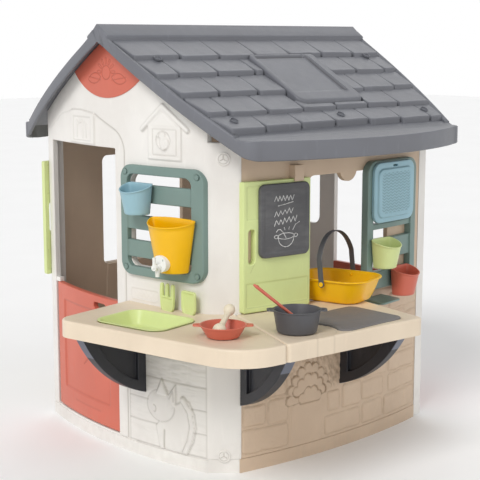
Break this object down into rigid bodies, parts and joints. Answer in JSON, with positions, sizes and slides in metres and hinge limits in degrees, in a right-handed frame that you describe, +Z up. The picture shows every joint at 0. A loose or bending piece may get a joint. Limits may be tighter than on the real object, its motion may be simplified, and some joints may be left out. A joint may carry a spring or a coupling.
{
  "type": "playhouse",
  "caption": "Child's garden playhouse of moulded panels with a tiled gable roof, half doors, sliding shutters and an outdoor play kitchen with sink, pots and planters.",
  "frame": {"origin": "middle of the base of the whole object's bounding box, on the ground", "axes": "+Z up, +X along the roof ridge away from the front door gable, +Y across the ridge away from the kitchen wall"},
  "size_m": [1.3924, 1.5031, 1.32],
  "materials": {
    "beige": "moulded, fine grain",
    "coral": "moulded, fine grain",
    "cream": "moulded, fine grain",
    "dark_grey": "moulded, fine grain",
    "grey_board": "moulded, fine grain",
    "grey_green": "moulded, fine grain",
    "light_blue": "moulded, fine grain",
    "lime": "moulded, fine grain",
    "near_black": "moulded, fine grain",
    "sand": "moulded, fine grain",
    "slate": "moulded, fine grain",
    "warm_white": "moulded, fine grain",
    "white": "moulded, fine grain",
    "yellow": "moulded, fine grain"
  },
  "bodies": {
    "house": {"gable_wall_front": "warm_white", "gable_wall_rear": "warm_white", "kitchen_wall": "sand", "back_wall": "sand", "roof_front": "slate", "roof_back": "slate", "gable_plate_front": "coral", "gable_plate_rear": "coral", "hinge_pins_front": "warm_white", "hinge_pins_rear": "warm_white", "trellis_gable": "grey_green", "trellis_kitchen": "grey_green", "worktop_left": "beige", "worktop_right": "beige", "bracket_left": "near_black", "bracket_middle": "near_black", "bracket_right": "near_black", "sink_basin": "lime", "sill_shelf": "grey_green", "corner_screws": "warm_white", "trellis_screws": "grey_green", "roof_screws": "slate"},
    "door_front": {"half_door_front": "coral"},
    "door_rear": {"half_door_rear": "coral"},
    "shutter_front": {"shutter_front": "lime", "blackboard": "dark_grey"},
    "shutter_back": {"shutter_back": "lime"},
    "tank": {"water_tank": "yellow", "tap_body": "white"},
    "tap_lever": {"tap_lever": "white"},
    "planter_blue": {"planter_blue": "light_blue"},
    "planter_green": {"planter_green": "lime"},
    "planter_red": {"planter_red": "coral"},
    "wash_board": {"wash_board": "light_blue"},
    "garden_fork": {"garden_fork": "lime"},
    "garden_trowel": {"garden_trowel": "lime"},
    "colander": {"colander": "coral"},
    "shaker": {"shaker": "cream"},
    "cooking_pot": {"cooking_pot": "dark_grey"},
    "ladle": {"ladle": "coral"},
    "basket": {"basket": "yellow", "basket_pins": "yellow"},
    "basket_handle": {"basket_handle": "dark_grey"},
    "cutting_board": {"cutting_board": "grey_board"}
  },
  "joints": [
    {"name": "door_front_hinge", "type": "hinge", "parent": "house", "child": "door_front", "pos_m": [-0.33246, 0.46757, 0.259], "axis": [0, 0, -1], "range_deg": [0, 95]},
    {"name": "door_rear_hinge", "type": "hinge", "parent": "house", "child": "door_rear", "pos_m": [0.58694, -0.29043, 0.259], "axis": [0, 0, -1], "range_deg": [0, 95]},
    {"name": "shutter_front_track", "type": "hinge", "parent": "house", "child": "shutter_front", "pos_m": [0.12724, 1.78232, 0.4875], "axis": [0, 0, -1], "range_deg": [0, 1.53]},
    {"name": "shutter_back_track", "type": "hinge", "parent": "house", "child": "shutter_back", "pos_m": [0.12724, -1.60519, 0.4875], "axis": [0, 0, -1], "range_deg": [0, 8.55]},
    {"name": "tap_turn", "type": "hinge", "parent": "tank", "child": "tap_lever", "pos_m": [-0.4755, -0.21539, 0.6275], "axis": [0.9812, 0.1931, 0], "range_deg": [-90, 90]},
    {"name": "basket_bail", "type": "hinge", "parent": "basket", "child": "basket_handle", "pos_m": [0.09324, -0.40543, 0.547], "axis": [0.9659, 0.2588, 0], "range_deg": [-16, 70]},
    {"name": "tank_unhook", "type": "slide", "parent": "house", "child": "tank", "axis": [0, 0, 1], "range_m": [0, 0.012]},
    {"name": "planter_blue_unhook", "type": "slide", "parent": "house", "child": "planter_blue", "axis": [0, 0, 1], "range_m": [0, 0.012]},
    {"name": "planter_green_unhook", "type": "slide", "parent": "house", "child": "planter_green", "axis": [0, 0, 1], "range_m": [0, 0.012]},
    {"name": "planter_red_unhook", "type": "slide", "parent": "house", "child": "planter_red", "axis": [0, 0, 1], "range_m": [0, 0.012]},
    {"name": "wash_board_unhook", "type": "slide", "parent": "house", "child": "wash_board", "axis": [0, 0, 1], "range_m": [0, 0.012]},
    {"name": "fork_lift", "type": "slide", "parent": "house", "child": "garden_fork", "axis": [0, 0, 1], "range_m": [0, 0.007]},
    {"name": "trowel_lift", "type": "slide", "parent": "house", "child": "garden_trowel", "axis": [0, 0, 1], "range_m": [0, 0.015]},
    {"name": "colander_lift", "type": "slide", "parent": "house", "child": "colander", "axis": [0, 0, 1], "range_m": [0, 0.02]},
    {"name": "shaker_lift", "type": "slide", "parent": "colander", "child": "shaker", "axis": [0, 0, 1], "range_m": [0, 0.02]},
    {"name": "pot_lift", "type": "slide", "parent": "house", "child": "cooking_pot", "axis": [0, 0, 1], "range_m": [0, 0.02]},
    {"name": "ladle_lift", "type": "slide", "parent": "cooking_pot", "child": "ladle", "axis": [0, 0, 1], "range_m": [0, 0.02]},
    {"name": "basket_lift", "type": "slide", "parent": "house", "child": "basket", "axis": [0, 0, 1], "range_m": [0, 0.02]},
    {"name": "cutting_board_lift", "type": "slide", "parent": "house", "child": "cutting_board", "axis": [0, 0, 1], "range_m": [0, 0.012]}
  ]
}
